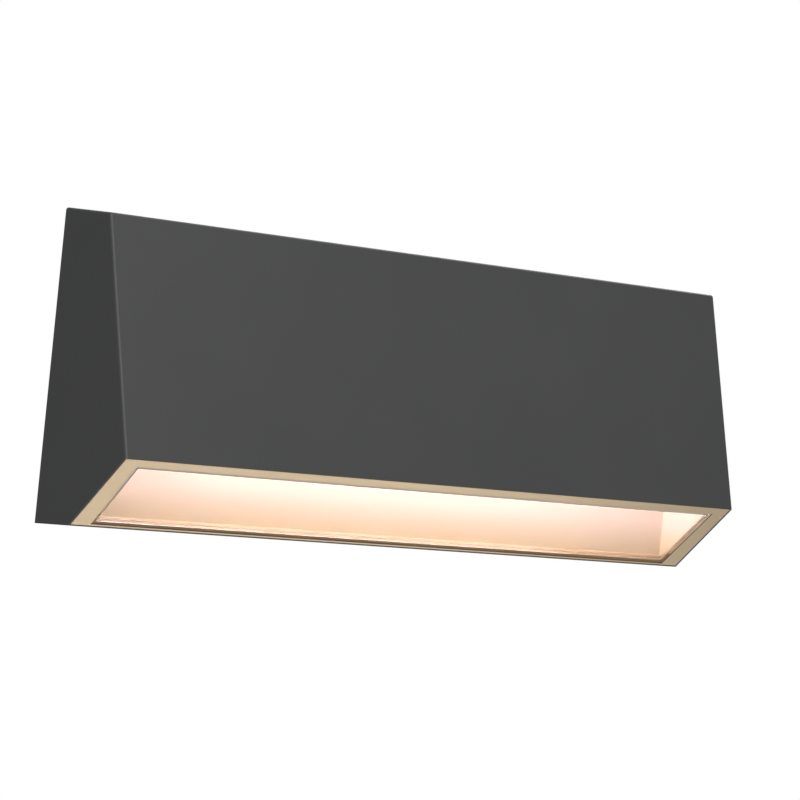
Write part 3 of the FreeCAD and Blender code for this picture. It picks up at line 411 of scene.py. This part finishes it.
# Diffuser
# An opal strip that lies on the reflector's roof over its long slot. It hides the single LEDs and
# shows only a soft brighter patch below each.
opal = Finish("opal_strip", 0.40)
least_glow = 0.88 * lamp_glow
most_glow = 1.1 * lamp_glow
led_count = 24
row_low, row_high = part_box("led_chips")
led_size = row_high.y - row_low.y
led_pitch = (row_high.x - row_low.x - led_size) / (led_count - 1)
waves_in_one_unit = 20
wave = opal.nodes.new("ShaderNodeTexWave")
wave.inputs["Scale"].default_value = 1 / waves_in_one_unit
wave.inputs["Distortion"].default_value = 0.0
opal.link(opal.stretched((led_pitch / math.tau, 1, 1)), wave.inputs["Vector"])
opal.tint(opal.speckle(4 * MM), (0.88, 0.86, 0.80), (0.93, 0.91, 0.86))
opal.relief(opal.speckle(0.3 * MM), 0.01 * MM)
opal.set("Emission Color", (*lamp_colour, 1))
patches = opal.spread(wave.outputs["Fac"], least_glow, most_glow, 0, 1)
opal.link(patches, opal.shader.inputs["Emission Strength"])
strip = copied("diffuser", "opal_diffuser")
bpy.ops.object.mode_set(mode="EDIT")
for count in range(1, led_count):
    between_leds = row_low.x + led_size / 2 + (count - 0.5) * led_pitch
    bpy.ops.mesh.select_all(action="SELECT")
    bpy.ops.mesh.bisect(plane_co=(between_leds, 0, 0), plane_no=(1, 0, 0))
bpy.ops.object.mode_set(mode="OBJECT")
stands_for(edged(strip, 0.3 * MM), "diffuser", opal)

# Reflector
# One enamelled cream moulding, a long trough that lines the light chamber. Its colour deepens to tan
# towards the mouth as painted shade, the wall dimmer the further it lies from the lamp, and its foot is
# painted a darker tan shade.
# Its ears are screwed to the carrier, and the foot stands in the outlet frame.
cream = Finish("cream_enamel_painted_shade", 0.38)
foot_height = 4.3 * MM
foot_shade_blend = 0.2 * MM
# painted shade: the dark tan of the foot, and the tan that the wall darkens to towards the mouth
foot_painted_shade = (0.30, 0.185, 0.09)
painted_shade_tan = (0.62, 0.45, 0.19)
painted_shade_reach = 18 * MM
trough_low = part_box("reflector")[0].z
wall_low = trough_low + foot_height
height = cream.nodes.new("ShaderNodeSeparateXYZ")
cream.link(cream.place, height.inputs[0])
enamel = cream.between(cream.speckle(30 * MM), (0.765, 0.655, 0.60), (0.79, 0.68, 0.62))
# painted shade: the wall's colour runs from cream down to tan towards the trough's low edge, standing in
# for the lamp's light falling off
painted_shade_fade = cream.spread(height.outputs["Z"], 0.0, 1.0, trough_low, trough_low + painted_shade_reach)
wall = cream.between(painted_shade_fade, painted_shade_tan, enamel)
# painted shade: the foot below the wall is painted a dark tan so that it does not show as a lit strip
foot_shade_edge = cream.spread(height.outputs["Z"], 0.0, 1.0, wall_low - foot_shade_blend, wall_low + foot_shade_blend)
cream.tint(foot_shade_edge, foot_painted_shade, wall)
cream.gloss(cream.speckle(2 * MM), 0.32, 0.46)
cream.relief(cream.speckle(0.6 * MM), 0.01 * MM)
with_broken_edges("reflector", "light_trough", 0.25 * MM, cream)

# Outlet frame
# A flat milled frame of champagne anodised aluminium, set into the slanted mouth of the housing.
# Four screws from inside pull it onto a thin rubber gasket.
anodised = Finish("champagne_anodising", 0.36, metallic=1.0)
brushed = anodised.speckle((40 * MM, 0.25 * MM, 0.25 * MM), detail=3.0)
anodised.tint(anodised.speckle(18 * MM), (0.76, 0.595, 0.385), (0.82, 0.65, 0.43))
anodised.gloss(brushed, 0.30, 0.44)
anodised.relief(brushed, 0.008 * MM)
with_broken_edges("outlet_frame", "champagne_frame", 0.12 * MM, anodised)
with_broken_edges("frame_gasket", "frame_seal", 0.1 * MM, rubber, steps=1)

# Glass
# A clear tempered pane with an anti-reflective coating, set into the reflector's foot and bonded
# there all round with cream silicone, which is painted a darker tan as painted shade, like the foot it
# sits in.
pane = Finish("clear_pane", 0.02)
pane.gloss(pane.speckle(25 * MM), 0.0, 0.04)
pane.set("Base Color", (0.97, 0.99, 0.98, 1))
pane.set("Transmission Weight", 1.0)
pane.set("IOR", 1.5)
pane.set("Specular IOR Level", 0.2)
with_broken_edges("outlet_glass", "glass_pane", 0.12 * MM, pane)

silicone = Finish("silicone_painted_shade_tan", 0.42)
ripple = silicone.speckle(9 * MM)
# painted shade: the cream silicone is darkened to tan so that it does not show as a lit strip
silicone.tint(ripple, (0.55, 0.39, 0.22), (0.60, 0.43, 0.25))
silicone.relief(ripple, 0.02 * MM)
squeeze = 0.03 * MM
bead = copied("glass_seal", "silicone_bead")
bpy.ops.object.mode_set(mode="EDIT")
bpy.ops.mesh.select_all(action="SELECT")
bpy.ops.transform.shrink_fatten(value=squeeze)
bpy.ops.object.mode_set(mode="OBJECT")
stands_for(edged(bead, 0.1 * MM, steps=1), "glass_seal", silicone)

# Housing
# One aluminium die casting, open to the wall and at its slanted mouth, with a satin powder coat in
# neutral anthracite. It holds everything else and slips over the wall bracket.
coat = Finish("anthracite_powder_coat", 0.55)
grit = coat.speckle(0.55 * MM, detail=3.0)
coat.tint(coat.speckle(45 * MM), (0.060, 0.0605, 0.062), (0.070, 0.0705, 0.072))
coat.gloss(grit, 0.46, 0.60)
coat.relief(coat.speckle(1.6 * MM), 0.022 * MM)
coat.relief(grit, 0.010 * MM)
with_broken_edges("housing", "cast_housing", 0.25 * MM, coat)

# Set screws
# Two black steel grub screws in the housing's underside. Their tips press on the bracket's lower
# folded edge and keep the housing on it.
blackened = Finish("black_oxide", 0.42, metallic=1.0)
oil = blackened.speckle(0.7 * MM)
blackened.tint(oil, (0.03, 0.03, 0.032), (0.07, 0.07, 0.073))
blackened.gloss(oil, 0.34, 0.52)
blackened.relief(oil, 0.01 * MM)
with_broken_edges("set_screws", "grub_screws", 0.08 * MM, blackened)

# Studio
# A pale round floor well below the light, whose rim fades into a white room, and soft lamps. The
# room looks white to the camera and lights the object with a dimmer, slightly cool light.
floor_drop = 0.30
floor_radius = 0.58
fade_start = 0.6 * floor_radius
fade_end = 0.97 * floor_radius
floor_place = (0, 0, -floor_drop)
bpy.ops.object.select_all(action="DESELECT")
bpy.ops.mesh.primitive_circle_add(vertices=96, radius=floor_radius, fill_type="NGON", location=floor_place)
bpy.ops.object.transform_apply(location=True)
floor = bpy.context.object
floor.name = "studio_floor"
paper = Finish("pale_floor", 0.70)
paper.tint(paper.speckle(60 * MM), (0.78, 0.78, 0.78), (0.81, 0.81, 0.81))
reach = paper.nodes.new("ShaderNodeVectorMath")
reach.operation = "LENGTH"
paper.link(paper.place, reach.inputs[0])
fade = paper.spread(reach.outputs["Value"], 0.0, 1.0, fade_start, fade_end)
clear = paper.nodes.new("ShaderNodeBsdfTransparent")
blend = paper.nodes.new("ShaderNodeMixShader")
paper.link(fade, blend.inputs["Fac"])
paper.link(paper.shader.outputs["BSDF"], blend.inputs[1])
paper.link(clear.outputs["BSDF"], blend.inputs[2])
paper.link(blend.outputs["Shader"], paper.nodes["Material Output"].inputs["Surface"])
floor.data.materials.append(paper.material)

room = bpy.data.worlds.new("white_room")
bpy.context.scene.world = room
room.use_nodes = True
nodes = room.node_tree.nodes
seen = nodes["Background"]
seen.inputs["Color"].default_value = (1, 1, 1, 1)
seen.inputs["Strength"].default_value = 1.0
lit = nodes.new("ShaderNodeBackground")
lit.inputs["Color"].default_value = (0.98, 0.99, 1.0, 1)
lit.inputs["Strength"].default_value = 0.28
path = nodes.new("ShaderNodeLightPath")
either = nodes.new("ShaderNodeMixShader")
links = room.node_tree.links
links.new(path.outputs["Is Camera Ray"], either.inputs["Fac"])
links.new(lit.outputs["Background"], either.inputs[1])
links.new(seen.outputs["Background"], either.inputs[2])
links.new(either.outputs["Shader"], nodes["World Output"].inputs["Surface"])

softboxes = (
    ("key_softbox", (-0.45, -0.95, 0.60), (0, 0, 0), 0.7, 8.6),
    ("fill_softbox", (1.0, 0.35, 0.80), (0.2, 0, -0.2), 0.8, 11.0),
    ("back_softbox", (0.9, 1.6, 0.8), (0, 0, 0), 1.2, 12.0),
)
for name, spot, aim, size, watts in softboxes:
    lamp = bpy.data.lights.new(name, "AREA")
    lamp.size = size
    lamp.energy = watts
    softbox = bpy.data.objects.new(name, lamp)
    softbox.location = spot
    softbox.rotation_mode = "QUATERNION"
    softbox.rotation_quaternion = (Vector(spot) - Vector(aim)).to_track_quat("Z", "Y")
    softbox.visible_camera = False
    bpy.context.scene.collection.objects.link(softbox)

# Camera
# At the light's own height and 35 degrees to its left, with a long lens and a slight roll. It aims
# at the middle of the light.
side_angle = math.radians(35.308)
height_angle = math.radians(-0.249)
roll = math.radians(5.716)
aimed_at = Vector((-0.00304, -0.02204, 0.00027))
distance = 1.2
back = Vector((-math.sin(side_angle), -math.cos(side_angle), 0)) * math.cos(height_angle)
back.z = math.sin(height_angle)
lens = bpy.data.cameras.new("view")
lens.lens = 135
lens.sensor_width = 36
lens.clip_end = 20
camera = bpy.data.objects.new("view", lens)
camera.location = aimed_at + distance * back
camera.rotation_mode = "QUATERNION"
camera.rotation_quaternion = back.to_track_quat("Z", "Y") @ Quaternion((0, 0, 1), roll)
bpy.context.scene.collection.objects.link(camera)
bpy.context.scene.camera = camera
bpy.context.scene.view_settings.view_transform = "Standard"
